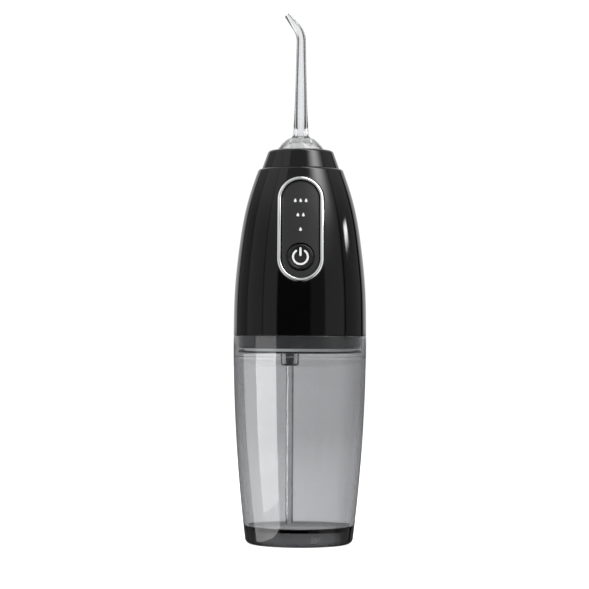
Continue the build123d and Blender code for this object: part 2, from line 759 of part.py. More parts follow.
def jet_tip():
    """Hollow clear nozzle: plain end, bulb, stem, flange and a long bent taper."""
    guide_r = sleeve_bore_r - fit
    seat_z = dome_top_z + 0.05
    foot = [
        (0, 185.2), (2.3, 185.2), (2.5, 185.6), (2.5, 189.3), (3.4, 189.6), (3.75, 190.4), (3.75, 191.8),
        (3.0, 193.4), (3.0, 200.2), (guide_r, 201.0), (guide_r, seat_z), (4.5, seat_z), (4.6, 205.7),
        (4.5, 206.2)]
    body = turned(foot + nozzle_side + [(0, nozzle_bend_z)])
    tip_r = nozzle_side[-1][0]
    mouth_r = nozzle_bore[-1][0]
    lean = radians(nozzle_lean)
    middle = (nozzle_bend_r * (cos(lean / 2) - 1), 0, nozzle_bend_z + nozzle_bend_r * sin(lean / 2))
    over = Vector(nozzle_bend_r * (cos(lean) - 1), 0, nozzle_bend_z + nozzle_bend_r * sin(lean))
    bend = ThreePointArc((0, 0, nozzle_bend_z), middle, over)
    start = Plane(origin=(0, 0, nozzle_bend_z), z_dir=(0, 0, 1))
    spout = Plane(origin=over, z_dir=(-sin(lean), 0, cos(lean)))
    body += sweep(start * Circle(tip_r), path=bend)
    body += spout * Cone(tip_r, nozzle_end_r, nozzle_reach, align=UP)
    bore = turned([(0, 180), (nozzle_bore[0][0], 180)] + nozzle_bore + [(0, nozzle_bend_z)])
    bore += sweep(start * Circle(mouth_r), path=bend)
    bore += spout * Cone(mouth_r, 0.5, nozzle_reach + 0.1, align=UP)
    return body - bore


# ---- nozzle release at the back ----------------------------------------------------------
def release_button():
    """Push button in the collar's back with a flange inside."""
    face = block(-4.5, 4.5, 12.4, 18.7, release_z - 2.1, release_z + 2.1)
    face = fillet(face.edges().filter_by(Axis.Y), 1.2)
    cone = turned([(0, 185), (19.9, 185), (19.0, 192.0), (17.7, 197.0), (0, 197.0)])
    flange = block(-5.2, 5.2, 11.8, 12.8, release_z - 2.6, release_z + 1.6)
    return (face & cone) + flange


def latch_plate():
    """Sliding plate under the sleeve with a long hole round the nozzle."""
    low = 189.9
    high = 191.6
    body = disc(9.0, low, high) + block(-3.5, 3.5, 0, 11.8, low, high)
    body += block(-3.5, 3.5, 10.6, 11.8, high - 0.5, release_z + 1.0)
    return body - disc(4.3, low - 1, high + 1) - disc(4.3, low - 1, high + 1, 0, 1.6)


def latch_spring():
    """Two small springs that push the button out again."""
    spring = coil(0.9, 0.15, 0, 5.35, 6)
    return [Plane(origin=(x, 6.4, release_z + 0.2), z_dir=(0, 1, 0)) * spring for x in (-4.6, 4.6)]


# ---- charging port at the back -----------------------------------------------------------
def port_cover():
    """Silicone flap that follows the shell and folds down on its rounded lower edge."""
    flap = back_prism(flap_outline(0), port_z) & (handle_core(0.05) - handle_core(1.3))
    tongue = back_prism(RectangleRounded(7.4, 1.8, 0.8), port_z) & (handle_core(1.0) - handle_core(2.6))
    roll = bar(0.7, (-10, port_hinge_y, port_hinge_z), (10, port_hinge_y, port_hinge_z))
    lower_edge = block(-10, 10, 25.0, 40.0, port_z - port_flap_h, port_hinge_z) - roll
    return flap - lower_edge + tongue


def port_gasket():
    """Soft frame between the shell and the charging socket."""
    frame = back_prism(RectangleRounded(10.5, 4.9, 1.9), port_z) & (handle_core(2.0) - handle_core(4.4))
    return frame - back_prism(RectangleRounded(8.9, 3.1, 1.5), port_z)


def charging_port():
    """Metal shell of the charging socket with its contact tongue."""
    shell = back_prism(RectangleRounded(8.8, 3.0, 1.45), port_z) & block(-10, 10, 25.0, 30.2, 100, 140)
    shell -= back_prism(RectangleRounded(8.2, 2.4, 1.15), port_z) & block(-10, 10, 26.0, 33.0, 100, 140)
    return shell + block(-3.2, 3.2, 25.5, 29.6, port_z - 0.35, port_z + 0.35)


def build():
    """Every sub-part by its name."""
    makers = [
        tank_cup, body_shell, neck_collar, base_plug, tank_seal_ring, tube_nut, suction_tube,
        inner_chassis, battery_cell, motor_can, motor_end_cap, motor_magnets, motor_armature,
        motor_shaft, motor_pinion, drive_gear, gear_axle, crank_pin, piston_yoke, pump_piston,
        piston_seal, pump_cylinder, pump_head, pump_screws, inlet_fitting, outlet_fitting,
        inlet_valve, outlet_valve, inlet_valve_spring, outlet_valve_spring, inlet_hose, outlet_hose,
        nozzle_socket, nozzle_seal, knob_sleeve, sleeve_clip, tip_dome, jet_tip, release_button,
        latch_plate, latch_spring, trim_ring, control_panel, button_cap, power_symbol, button_pad,
        tact_switch, control_board, board_chips, status_leds, light_guide, port_cover, port_gasket,
        charging_port, plug_screws, motor_screws]
    for maker in makers:
        shape = maker()
        if isinstance(shape, (list, ShapeList)):
            shape = Compound(children=list(shape))
        save(maker.__name__, shape)


build()
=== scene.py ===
import bpy
import json
from math import ceil, cos, hypot, pi, radians, sin, sqrt, tan
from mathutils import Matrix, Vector


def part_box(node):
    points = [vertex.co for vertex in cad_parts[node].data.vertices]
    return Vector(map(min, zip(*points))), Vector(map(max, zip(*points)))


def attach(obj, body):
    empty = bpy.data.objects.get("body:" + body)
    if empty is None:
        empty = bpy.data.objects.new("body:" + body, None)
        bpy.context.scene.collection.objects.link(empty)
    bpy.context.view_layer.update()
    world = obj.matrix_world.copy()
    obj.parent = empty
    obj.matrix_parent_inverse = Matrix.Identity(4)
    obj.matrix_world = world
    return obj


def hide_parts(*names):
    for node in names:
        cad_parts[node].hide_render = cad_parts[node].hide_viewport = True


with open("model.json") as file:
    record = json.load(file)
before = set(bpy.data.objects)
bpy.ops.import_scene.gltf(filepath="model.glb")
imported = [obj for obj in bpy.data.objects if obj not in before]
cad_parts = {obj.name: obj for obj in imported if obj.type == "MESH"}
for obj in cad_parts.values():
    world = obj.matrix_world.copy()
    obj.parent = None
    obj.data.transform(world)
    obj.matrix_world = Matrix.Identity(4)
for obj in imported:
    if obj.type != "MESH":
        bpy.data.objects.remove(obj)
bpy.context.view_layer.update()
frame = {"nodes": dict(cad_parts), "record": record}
MM = 0.001

# Water flosser: smoke-clear tank, gloss black handle, chrome-ringed control panel, clear nozzle.
# The frame is in metres, +Z up, and the control panel faces -Y. Outlines below are in
# millimetres, as (radius, height), and hang from the boxes of the frame's own nodes.


# ---- sizes read from the frame --------------------------------------------------------------
def low_mm(node, axis=2):
    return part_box(node)[0][axis] / MM


def high_mm(node, axis=2):
    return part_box(node)[1][axis] / MM


def middle_mm(node, axis=2):
    return (low_mm(node, axis) + high_mm(node, axis)) / 2


seam_z = high_mm("tank_cup")
seam_r = high_mm("tank_cup", 0)
shell_top_z = high_mm("body_shell")
collar_low_z = shell_top_z + 0.1
collar_top_z = high_mm("neck_collar")
dome_low_z = low_mm("tip_dome")
dome_top_z = high_mm("tip_dome")
nozzle_low_z = low_mm("jet_tip")
sleeve_low_z = low_mm("knob_sleeve")
panel_z = middle_mm("trim_ring")
ring_half_w = high_mm("trim_ring", 0)
ring_half_h = high_mm("trim_ring") - panel_z
tube_x = middle_mm("suction_tube", 0)
tube_low_z = low_mm("suction_tube")
nut_low_z = low_mm("tube_nut")
nut_top_z = high_mm("tube_nut")
plug_low_z = low_mm("base_plug")
seal_top_z = high_mm("tank_seal_ring")
seal_r = high_mm("tank_seal_ring", 0)
button_z = middle_mm("button_cap") - 0.17
release_z = high_mm("release_button") - 2.1
port_z = middle_mm("port_cover")

# ---- sizes that the boxes don't give --------------------------------------------------------
plug_top_z = seam_z + 4.2
tank_wall = 2.0
tank_curve_r = 839.0
tank_floor_z = 8.9
tank_foot_fillet = 2.8
foot_recess_r = 23.2
foot_recess_z = 7.4
rim_bore_r = 31.6
rim_bore_z = 94.6
plug_inner_r = 26.0
plug_low_r = 28.0
plug_flange_r = 31.52
plug_step_r = 30.9
plug_top_r = 30.8
plug_flange_z = 98.6
boss_r = 2.85
boss_low_z = 97.3
tube_r = 2.0
tube_bore_r = 1.3
shell_wall = 2.6
shell_side = [(33.6, 105.0), (33.0, 130.0), (30.2, 155.5), (27.0, 172.0), (21.3, 189.5)]
shell_end_slopes = (0.0, -0.38)
button_tilt = radians(7.0)
button_y = -31.5
mode_heights = (172.2, 165.0, 157.8)


# ---- profiles -------------------------------------------------------------------------------
def tank_radius(z):
    """Long arc of the tank's side, upright at the seam."""
    return seam_r - (seam_z - z) ** 2 / (2 * tank_curve_r)


def shell_radius(z):
    """Smooth curve through the handle's side points, eased in at both ends."""
    pts = shell_side
    slopes = [shell_end_slopes[0]]
    for before, after in zip(pts, pts[2:]):
        slopes.append((after[0] - before[0]) / (after[1] - before[1]))
    slopes.append(shell_end_slopes[1])
    z = min(max(z, pts[0][1]), pts[-1][1])
    i = max(k for k in range(len(pts) - 1) if z >= pts[k][1])
    span = pts[i + 1][1] - pts[i][1]
    t = (z - pts[i][1]) / span
    return (
        (2 * t**3 - 3 * t**2 + 1) * pts[i][0]
        + (t**3 - 2 * t**2 + t) * span * slopes[i]
        + (3 * t**2 - 2 * t**3) * pts[i + 1][0]
        + (t**3 - t**2) * span * slopes[i + 1]
    )


def collar_radius(z):
    """Cone of the neck collar, in two slopes."""
    foot, bend, top = (19.7, collar_low_z), (17.9, 194.6), (16.3, collar_top_z)
    first, last = (foot, bend) if z < bend[1] else (bend, top)
    return first[0] + (last[0] - first[0]) * (z - first[1]) / (last[1] - first[1])


def rounded(points, steps=5):
    """Outline with some corners rounded: a point is (r, z) or (r, z, fillet radius)."""
    result = []
    for i, point in enumerate(points):
        if len(point) == 2:
            result.append(point)
            continue
        here = Vector(point[:2])
        back = (Vector(points[i - 1][:2]) - here).normalized()
        ahead = (Vector(points[(i + 1) % len(points)][:2]) - here).normalized()
        half = back.angle(ahead) / 2
        centre = here + (back + ahead).normalized() * point[2] / sin(half)
        first = here + back * point[2] / tan(half) - centre
        last = here + ahead * point[2] / tan(half) - centre
        for step in range(steps + 1):
            share = step / steps
            spot = (first * (1 - share) + last * share).normalized() * point[2] + centre
            result.append((spot.x, spot.y))
    return result


def steps_between(low, high, size):
    count = max(1, ceil((high - low) / size))
    return [low + (high - low) * k / count for k in range(count + 1)]


# ---- mesh helpers ---------------------------------------------------------------------------
def piece(name, parts, body, material, nodes=(), sharp=35.0):
    """One object from (vertices in mm, faces) parts, riding on a body."""
    verts, faces = [], []
    for part_verts, part_faces in parts:
        start = len(verts)
        verts += [Vector(v) * MM for v in part_verts]
        faces += [[start + k for k in face] for face in part_faces]
    mesh = bpy.data.meshes.new(name)
    mesh.from_pydata(verts, [], faces)
    mesh.materials.append(material)
    mesh.validate()
    mesh.polygons.foreach_set("use_smooth", [True] * len(mesh.polygons))
    mesh.set_sharp_from_angle(angle=radians(sharp))
    obj = bpy.data.objects.new(name, mesh)
    bpy.context.scene.collection.objects.link(obj)
    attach(obj, body)
    if nodes:
        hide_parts(*nodes)
    return obj


def lathe(outline, steps=160, x=0.0, y=0.0):
    """Closed (r, z) outline, anticlockwise with r to the right, spun about an upright axis."""
    verts, rows = [], []
    for r, z in outline:
        if r < 1e-6:
            rows.append([len(verts)] * steps)
            verts.append((x, y, z))
            continue
        rows.append(list(range(len(verts), len(verts) + steps)))
        for k in range(steps):
            turn = 2 * pi * k / steps
            verts.append((x + r * cos(turn), y + r * sin(turn), z))
    return verts, row_faces(rows, closed=True)


def row_faces(rows, closed=False):
    """Quads between rows of vertex numbers that each run all the way round."""
    faces = []
    for i in range(len(rows) if closed else len(rows) - 1):
        row, above = rows[i], rows[(i + 1) % len(rows)]
        for k in range(len(row)):
            after = (k + 1) % len(row)
            corners = [row[k], row[after], above[after], above[k]]
            corners = [c for n, c in enumerate(corners) if c not in corners[:n]]
            if len(corners) > 2:
                faces.append(corners)
    return faces


def moved(part, change):
    """The part with its points put through a function."""
    return [change(Vector(v)) for v in part[0]], part[1]


class Opening:
    """Rounded rectangle, stadium or circle in the XZ plane."""

    def __init__(self, centre_z, half_w, half_h, corner, side=-1):
        self.z = centre_z
        self.half_w = half_w
        self.half_h = half_h
        self.corner = corner
        self.side = side

    def core(self, x, z):
        wide = self.half_w - self.corner
        tall = self.half_h - self.corner
        return Vector((min(max(x, -wide), wide), self.z + min(max(z - self.z, -tall), tall)))

    def reach(self, x, z):
        """Distance outside the outline, negative inside it."""
        return (Vector((x, z)) - self.core(x, z)).length - self.corner

    def snap(self, x, z, out=0.0):
        """Nearest point of the outline, then moved outwards."""
        core = self.core(x, z)
        away = (Vector((x, z)) - core).normalized()
        return core + away * (self.corner + out)

    def grown(self, size):
        return Opening(self.z, self.half_w + size, self.half_h + size, self.corner + size, self.side)

    def around(self, count):
        """Evenly spaced points of the outline, anticlockwise seen from the front."""
        wide = self.half_w - self.corner
        tall = self.half_h - self.corner
        quarter = self.corner * pi / 2
        runs = [(2 * tall, (self.half_w, -tall), pi / 2), (quarter, (wide, tall), 0.0),
                (2 * wide, (wide, self.half_h), pi), (quarter, (-wide, tall), pi / 2),
                (2 * tall, (-self.half_w, tall), -pi / 2), (quarter, (-wide, -tall), pi),
                (2 * wide, (-wide, -self.half_h), 0.0), (quarter, (wide, -tall), -pi / 2)]
        total = sum(run[0] for run in runs)
        spots = []
        for k in range(count):
            along = total * k / count
            number = 0
            while along > runs[number][0] and number < len(runs) - 1:
                along -= runs[number][0]
                number += 1
            (x, z), angle = runs[number][1:]
            if number % 2:
                angle += along / self.corner
                along = self.corner
            spots.append((x + along * cos(angle), self.z + z + along * sin(angle)))
        return spots


def cut_skin(grid, wrap, shapes, outer, inner, chamfer, cell, last=(), first=()):
    """Wall of a turned form on a grid of (x, z, side) spots, left out where a shape cuts it.

    shapes are (Opening, 1) for a window and (Opening, -1) for the wall's own outline. outer and
    inner give the radius of each face at a height. last and first are (r, z) rows that close a
    whole turn above and below.
    """
    columns, rows = len(grid), len(grid[0])
    spans = columns if wrap else columns - 1
    far_off = 9.0
    least_gap = chamfer + 0.15 * cell

    def clear(x, z, side):
        return min([sign * shape.reach(x, z) for shape, sign in shapes if shape.side == side] or [far_off])

    def centre(i, j):
        corners = [grid[i][j], grid[(i + 1) % columns][j], grid[(i + 1) % columns][j + 1], grid[i][j + 1]]
        return sum(c[0] for c in corners) / 4, sum(c[1] for c in corners) / 4, corners[0][2]

    cells = {(i, j) for i in range(spans) for j in range(rows - 1)
             if clear(*centre(i, j)) > least_gap}
    uses = {}
    for i, j in cells:
        after = (i + 1) % columns
        for spot in ((i, j), (after, j), (after, j + 1), (i, j + 1)):
            uses[spot] = uses.get(spot, 0) + 1
    verts, face_at, rim_at, back_at = [], {}, {}, {}

    def add(x, z, side, radius):
        verts.append((x, side * sqrt(max(radius**2 - x**2, 0.0)), z))
        return len(verts) - 1

    for spot in sorted(uses):
        x, z, side = grid[spot[0]][spot[1]]
        end_row = spot[1] in (0, rows - 1) and wrap
        if uses[spot] == 4 or (end_row and uses[spot] == 2):
            face_at[spot] = add(x, z, side, outer(z))
            back_at[spot] = add(x * inner(z) / outer(z), z, side, inner(z))
            continue
        near = [(abs(shape.reach(x, z)), n) for n, (shape, sign) in enumerate(shapes) if shape.side == side]
        shape, sign = shapes[min(near)[1]]
        face = shape.snap(x, z, sign * chamfer)
        rim = shape.snap(x, z)
        face_at[spot] = add(face.x, face.y, side, outer(face.y))
        rim_at[spot] = add(rim.x, rim.y, side, outer(rim.y) - chamfer)
        back_at[spot] = add(rim.x, rim.y, side, inner(rim.y))
    faces = []
    for i, j in sorted(cells):
        after = (i + 1) % columns
        ring = [(i, j), (after, j), (after, j + 1), (i, j + 1)]
        faces.append([face_at[s] for s in ring])
        faces.append([back_at[s] for s in reversed(ring)])
        beside = [(i, j - 1), (after, j), (i, j + 1), ((i - 1) % columns if wrap else i - 1, j)]
        for k, other in enumerate(beside):
            a, b = ring[k], ring[(k + 1) % 4]
            if other not in cells and a in rim_at and b in rim_at:
                faces.append([face_at[b], face_at[a], rim_at[a], rim_at[b]])
                faces.append([rim_at[b], rim_at[a], back_at[a], back_at[b]])
    if wrap:
        turns = [grid[i][0] for i in range(columns)]
        for extra, row in ((last, rows - 1), (first, 0)):
            loops = [[face_at[i, row] for i in range(columns)]]
            base = outer(grid[0][row][1])
            for r, z in extra:
                loops.append([])
                for i in range(columns):
                    x, side = verts[loops[0][i]][0] * r / base, turns[i][2]
                    loops[-1].append(add(x, z, side, r))
            loops.append([back_at[i, row] for i in range(columns)])
            faces += [face if row else face[::-1] for face in row_faces(loops)]
    return verts, faces


def turn_grid(heights, steps, outer):
    """Spots all round a turned form: (x, z, side)."""
    grid = []
    for k in range(steps):
        turn = 2 * pi * (k + 0.5) / steps
        grid.append([(outer(z) * cos(turn), z, 1 if turn < pi else -1) for z in heights])
    return grid


def patch_grid(outline, cell):
    """Spots over a plate's outline, ordered so that its faces look outwards."""
    xs = steps_between(-outline.half_w, outline.half_w, cell)
    if outline.side > 0:
        xs.reverse()
    zs = steps_between(outline.z - outline.half_h, outline.z + outline.half_h, cell)
    return [[(x, z, outline.side) for z in zs] for x in xs]


def band_on(radius, outline, section, count=280):
    """Closed section of (inwards, above) points swept round an outline on a turned surface."""
    path = [Vector((x, outline.side * sqrt(radius(z) ** 2 - x**2), z)) for x, z in outline.around(count)]
    verts, rows = [], []
    for k, here in enumerate(path):
        along = (path[(k + 1) % count] - path[k - 1]).normalized()
        slope = (radius(here.z + 0.1) - radius(here.z - 0.1)) / 0.2
        normal = Vector((here.x, here.y, -slope * hypot(here.x, here.y))).normalized()
        inwards = normal.cross(along).normalized()
        verts += [tuple(here + inwards * a + normal * h) for a, h in section]
        rows.append([k * len(section) + n for n in range(len(section))])
    return verts, [face[::-1] for face in row_faces(rows, closed=True)]


def slab(outline, low, high, bevel=0.0):
    """Flat outline of (x, y) points, anticlockwise, thickened from low to high."""
    count = len(outline)
    middle = Vector((sum(p[0] for p in outline) / count, sum(p[1] for p in outline) / count))
    verts = [(x, y, low) for x, y in outline] + [(x, y, high - bevel) for x, y in outline]
    for k, (x, y) in enumerate(outline):
        along = (Vector(outline[(k + 1) % count]) - Vector(outline[k - 1])).normalized()
        verts.append((x - along.y * bevel, y + along.x * bevel, high))
    rows = [[row * count + k for k in range(count)] for row in range(3)]
    return verts, row_faces(rows) + [rows[2], rows[0][::-1]]


# ---- materials ------------------------------------------------------------------------------
slow_scale = 45.0
noise_low, noise_high = 0.3, 0.7


def finish(name, colour, rough, vary=0.05, grain=400.0, bump=0.0, wave=0.0, tint=0.08, absorbs=None,
           **sockets):
    """Procedural moulded surface: mottled colour, uneven polish, fine grain and slow waviness.

    absorbs is (density per metre, colour) of a tinted body.
    """
    mat = bpy.data.materials.new(name)
    mat.use_nodes = True
    tree = mat.node_tree
    shader = tree.nodes["Principled BSDF"]
    place = tree.nodes.new("ShaderNodeTexCoord")

    def noise(scale, detail):
        node = tree.nodes.new("ShaderNodeTexNoise")
        node.inputs["Scale"].default_value = scale
        node.inputs["Detail"].default_value = detail
        tree.links.new(place.outputs["Object"], node.inputs["Vector"])
        return node.outputs["Fac"]

    fine = noise(grain, 3.0)
    slow = noise(slow_scale, 2.0)
    ramp = tree.nodes.new("ShaderNodeValToRGB")
    ramp.color_ramp.elements[0].position = noise_low
    ramp.color_ramp.elements[1].position = noise_high
    ramp.color_ramp.elements[0].color = [c * (1 - tint) for c in colour] + [1]
    ramp.color_ramp.elements[1].color = [min(c * (1 + tint), 1.0) for c in colour] + [1]
    tree.links.new(slow, ramp.inputs["Fac"])
    tree.links.new(ramp.outputs["Color"], shader.inputs["Base Color"])
    spread = tree.nodes.new("ShaderNodeMapRange")
    spread.inputs["From Min"].default_value = noise_low
    spread.inputs["From Max"].default_value = noise_high
    spread.inputs["To Min"].default_value = max(rough - vary, 0.01)
    spread.inputs["To Max"].default_value = rough + vary
    tree.links.new(fine, spread.inputs["Value"])
    tree.links.new(spread.outputs["Result"], shader.inputs["Roughness"])
    normal = None
    for height, depth in ((fine, bump), (slow, wave)):
        if depth:
            node = tree.nodes.new("ShaderNodeBump")
            node.inputs["Strength"].default_value = 1.0
            node.inputs["Distance"].default_value = depth * MM
            tree.links.new(height, node.inputs["Height"])
            if normal:
                tree.links.new(normal, node.inputs["Normal"])
            normal = node.outputs["Normal"]
    if normal:
        tree.links.new(normal, shader.inputs["Normal"])
    for socket, value in sockets.items():
        shader.inputs[socket.replace("_", " ")].default_value = value
    if absorbs:
        body = tree.nodes.new("ShaderNodeVolumeAbsorption")
        body.inputs["Density"].default_value = absorbs[0]
        body.inputs["Color"].default_value = absorbs[1] + (1,)
        tree.links.new(body.outputs["Volume"], tree.nodes["Material Output"].inputs["Volume"])
    return mat


slot_finish = {
    "tank_clear": finish("smoke_clear", (0.975, 0.98, 0.985), rough=0.02, vary=0.01, grain=300,
                         wave=0.002, tint=0.01, absorbs=(398.0, (0.33, 0.33, 0.34)),
                         Transmission_Weight=1.0, IOR=1.49),
    "black_gloss": finish("black_gloss", (0.0022, 0.0022, 0.0025), rough=0.055, vary=0.02, grain=500,
                          bump=0.0003, wave=0.01, tint=0.15, IOR=1.49),
    "chrome_trim": finish("chrome_trim", (0.86, 0.87, 0.88), rough=0.09, vary=0.04, grain=900,
                          wave=0.004, tint=0.02, Metallic=1.0),
    "panel_grey": finish("panel_grey", (0.033, 0.033, 0.034), rough=0.42, vary=0.06, grain=1500,
                         bump=0.002, Specular_IOR_Level=0.25),
    "nozzle_clear": finish("nozzle_clear", (0.97, 0.975, 0.98), rough=0.03, vary=0.01, grain=500,
                           wave=0.004, tint=0.01, absorbs=(70.0, (0.3, 0.3, 0.31)),
                           Transmission_Weight=1.0, IOR=1.46),
    "tube_clear": finish("tube_clear", (0.96, 0.965, 0.97), rough=0.04, vary=0.02, grain=500,
                         wave=0.002, tint=0.01, absorbs=(60.0, (0.3, 0.3, 0.3)),
                         Transmission_Weight=1.0, IOR=1.40, Coat_Weight=1.0, Coat_Roughness=0.12,
                         Coat_IOR=1.7),
    "dark_seal": finish("dark_seal", (0.012, 0.012, 0.012), rough=0.55, vary=0.10, grain=2500,
                        bump=0.012),
    "white_print": finish("white_print", (0.88, 0.89, 0.90), rough=0.35, vary=0.06, grain=2000,
                          bump=0.001, tint=0.02),
    "smoke_gloss": finish("smoke_gloss", (0.016, 0.016, 0.018), rough=0.08, vary=0.03, grain=700,
                          bump=0.0006, wave=0.01),
    "white_moulding": finish("white_moulding", (0.82, 0.82, 0.81), rough=0.38, vary=0.08, grain=1500,
                             bump=0.006, tint=0.02),
    "frame_grey": finish("frame_grey", (0.33, 0.34, 0.35), rough=0.48, vary=0.08, grain=1500,
                         bump=0.012),
    "silicone_milk": finish("silicone_milk", (0.78, 0.78, 0.75), rough=0.45, vary=0.08, grain=1200,
                            bump=0.004, Subsurface_Weight=0.2),
    "steel": finish("steel", (0.58, 0.58, 0.59), rough=0.30, vary=0.08, grain=1800, bump=0.003,
                    Metallic=1.0),
    "brass": finish("brass", (0.72, 0.55, 0.25), rough=0.28, vary=0.08, grain=1800, bump=0.003,
                    Metallic=1.0),
    "board_green": finish("board_green", (0.02, 0.18, 0.08), rough=0.35, vary=0.08, grain=1200,
                          bump=0.006),
    "magnet_dark": finish("magnet_dark", (0.07, 0.07, 0.075), rough=0.60, vary=0.10, grain=2200,
                          bump=0.02, tint=0.2),
    "copper_core": finish("copper_core", (0.60, 0.30, 0.16), rough=0.38, vary=0.10, grain=1500,
                          bump=0.03, Metallic=1.0),
    "cell_wrap": finish("cell_wrap", (0.08, 0.26, 0.50), rough=0.30, vary=0.05, grain=600, bump=0.004,
                        wave=0.03),
}
for entry in frame["record"]["subparts"]:
    node = frame["nodes"][entry["node"]]
    node.data.materials.clear()
    node.data.materials.append(None)
    node.material_slots[0].link = "OBJECT"
    node.material_slots[0].material = slot_finish[entry["material_slot"]]


def made(name, parts, body, slot, nodes=(), sharp=35.0):
    return piece(name, parts, body, slot_finish[slot], nodes, sharp)


# ---- tank -----------------------------------------------------------------------------------
def tank_inner(z):
    return tank_radius(z) - tank_wall


side_step = 2.2
tank_outline = rounded(
    [(foot_recess_r, 0.0, 0.25), (tank_radius(0), 0.0, tank_foot_fillet)]
    + [(tank_radius(z), z) for z in steps_between(4.5, seam_z - 0.5, side_step)]
    + [(seam_r, seam_z, 0.3), (rim_bore_r, seam_z, 0.2), (rim_bore_r, rim_bore_z, 0.15)]
    + [(tank_inner(rim_bore_z), rim_bore_z, 0.2)]
    + [(tank_inner(z), z) for z in reversed(steps_between(12.0, rim_bore_z - 1.6, side_step))]
    + [(tank_inner(tank_floor_z), tank_floor_z, 0.8), (0.0, tank_floor_z)]
    + [(0.0, foot_recess_z), (foot_recess_r, foot_recess_z, 0.5)])
made("tank_wall", [lathe(tank_outline, steps=224)], "tank", "tank_clear", ["tank_cup"])

# ---- plug, seal, nut and suction tube -------------------------------------------------------
plug_outline = rounded([
    (plug_inner_r, plug_low_z, 0.2), (plug_low_r, plug_low_z, 0.2), (plug_low_r, plug_flange_z, 0.1),
    (plug_flange_r, plug_flange_z, 0.25), (plug_flange_r, seam_z), (plug_step_r, seam_z),
    (plug_top_r, plug_top_z), (0.0, plug_top_z), (0.0, seam_z), (plug_inner_r, seam_z, 0.4)])
boss_top_z = seam_z + 0.6
boss_outline = [(0.0, boss_low_z), (boss_r, boss_low_z), (boss_r, boss_top_z), (0.0, boss_top_z)]
made("plug_skirt", [lathe(plug_outline, steps=200)], "handle", "smoke_gloss", ["base_plug"])
made("plug_boss", [lathe(boss_outline, steps=72, x=tube_x)], "handle", "smoke_gloss")
seal_inner_r = plug_low_r + 0.05
seal_outline = rounded([
    (seal_inner_r, plug_low_z + 0.02), (seal_r, seal_top_z - 0.6, 0.15), (seal_r, seal_top_z, 0.2),
    (seal_inner_r, seal_top_z)])
made("tank_seal", [lathe(seal_outline, steps=200)], "handle", "dark_seal", ["tank_seal_ring"])
# pale band above the seal: a painted highlight, a light-coloured ring standing in for the light line that
# refraction at the tank's inner step makes
band_inner_r, band_r = plug_low_r + 0.02, plug_low_r + 0.35
band_low_z, band_top_z = seal_top_z + 0.1, seal_top_z + 1.5
painted_highlight_outline = rounded([
    (band_inner_r, band_low_z), (band_r, band_low_z, 0.12), (band_r, band_top_z, 0.12),
    (band_inner_r, band_top_z)])
made("painted_highlight_band", [lathe(painted_highlight_outline, steps=200)], "handle", "silicone_milk")
nut_r = high_mm("tube_nut", 0) - tube_x
nut_bore_r = tube_r + 0.02
nut_groove_r = nut_r - 0.5
nut_outline = rounded([
    (nut_bore_r, nut_low_z, 0.2), (nut_r - 0.25, nut_low_z, 1.3), (nut_r - 0.1, nut_top_z - 1.9, 0.15),
    (nut_groove_r, nut_top_z - 1.6, 0.15), (nut_groove_r, nut_top_z - 1.1, 0.15),
    (nut_r, nut_top_z - 0.8, 0.15), (nut_r, nut_top_z - 0.05, 0.2), (nut_bore_r, nut_top_z - 0.05)])
made("tube_sleeve_nut", [lathe(nut_outline, steps=96, x=tube_x)], "handle", "smoke_gloss", ["tube_nut"])
tube_top_z = boss_low_z - 0.1
tube_outline = rounded([
    (tube_bore_r, tube_low_z, 0.1), (tube_r, tube_low_z, 0.15), (tube_r, tube_top_z),
    (tube_bore_r, tube_top_z)])
made("clear_tube", [lathe(tube_outline, steps=48, x=tube_x)], "handle", "tube_clear", ["suction_tube"])

# ---- handle shell ---------------------------------------------------------------------------
ring_gap = 0.28
shell_edge = 1.0
crown_hole_r = 17.5
panel_hole = Opening(panel_z, ring_half_w + ring_gap, ring_half_h + ring_gap, ring_half_w + ring_gap)
port_hole = Opening(port_z, half_w=6.8, half_h=4.5, corner=2.4, side=1)


def soft_top(radius, top_z, edge, z):
    """Radius at a height, drawn in by a quarter circle under the top."""
    above = max(z - (top_z - edge), 0.0)
    return radius - edge + sqrt(max(edge**2 - above**2, 0.0))


def shell_outer(z):
    return soft_top(shell_radius(z), shell_top_z, shell_edge, z)


def shell_inner(z):
    return shell_radius(z) - shell_wall


shell_rows = (
    [seam_z + 0.25] + steps_between(seam_z + 1.0, shell_top_z - shell_edge - 0.2, 0.72)
    + [shell_top_z - shell_edge + shell_edge * sin(radians(a)) for a in (0, 15, 30, 45, 60, 75, 88)])
shell = cut_skin(
    turn_grid(shell_rows, steps=264, outer=shell_outer), True, [(panel_hole, 1), (port_hole, 1)],
    shell_outer, shell_inner, chamfer=0.18, cell=0.75,
    last=[(crown_hole_r, shell_top_z), (crown_hole_r, shell_top_z - 2.0)],
    first=[(seam_r - 0.25, seam_z), (31.1, seam_z)])
made("handle_shell", [shell], "handle", "black_gloss", ["body_shell"])

# ---- neck collar ----------------------------------------------------------------------------
key_hole = Opening(release_z, half_w=4.75, half_h=2.35, corner=1.3, side=1)
collar_edge = 1.2
collar_wall = 1.6
collar_bore_r = 5.57


def collar_outer(z):
    return soft_top(collar_radius(z), collar_top_z, collar_edge, z)


def collar_inner(z):
    return collar_radius(z) - collar_wall


collar_rows = (
    steps_between(collar_low_z + 0.12, collar_top_z - collar_edge - 0.15, 0.5)
    + [collar_top_z - collar_edge + collar_edge * sin(radians(a)) for a in (0, 15, 30, 45, 60, 75, 87)])
collar = cut_skin(
    turn_grid(collar_rows, steps=200, outer=collar_outer), True, [(key_hole, 1)],
    collar_outer, collar_inner, chamfer=0.12, cell=0.55,
    last=[(collar_bore_r + 0.18, collar_top_z), (collar_bore_r, collar_top_z - 0.15),
          (collar_bore_r, collar_top_z - collar_wall)],
    first=[(collar_radius(collar_low_z) - 0.15, collar_low_z), (15.7, collar_low_z)])
made("neck_cone", [collar], "handle", "black_gloss", ["neck_collar"])

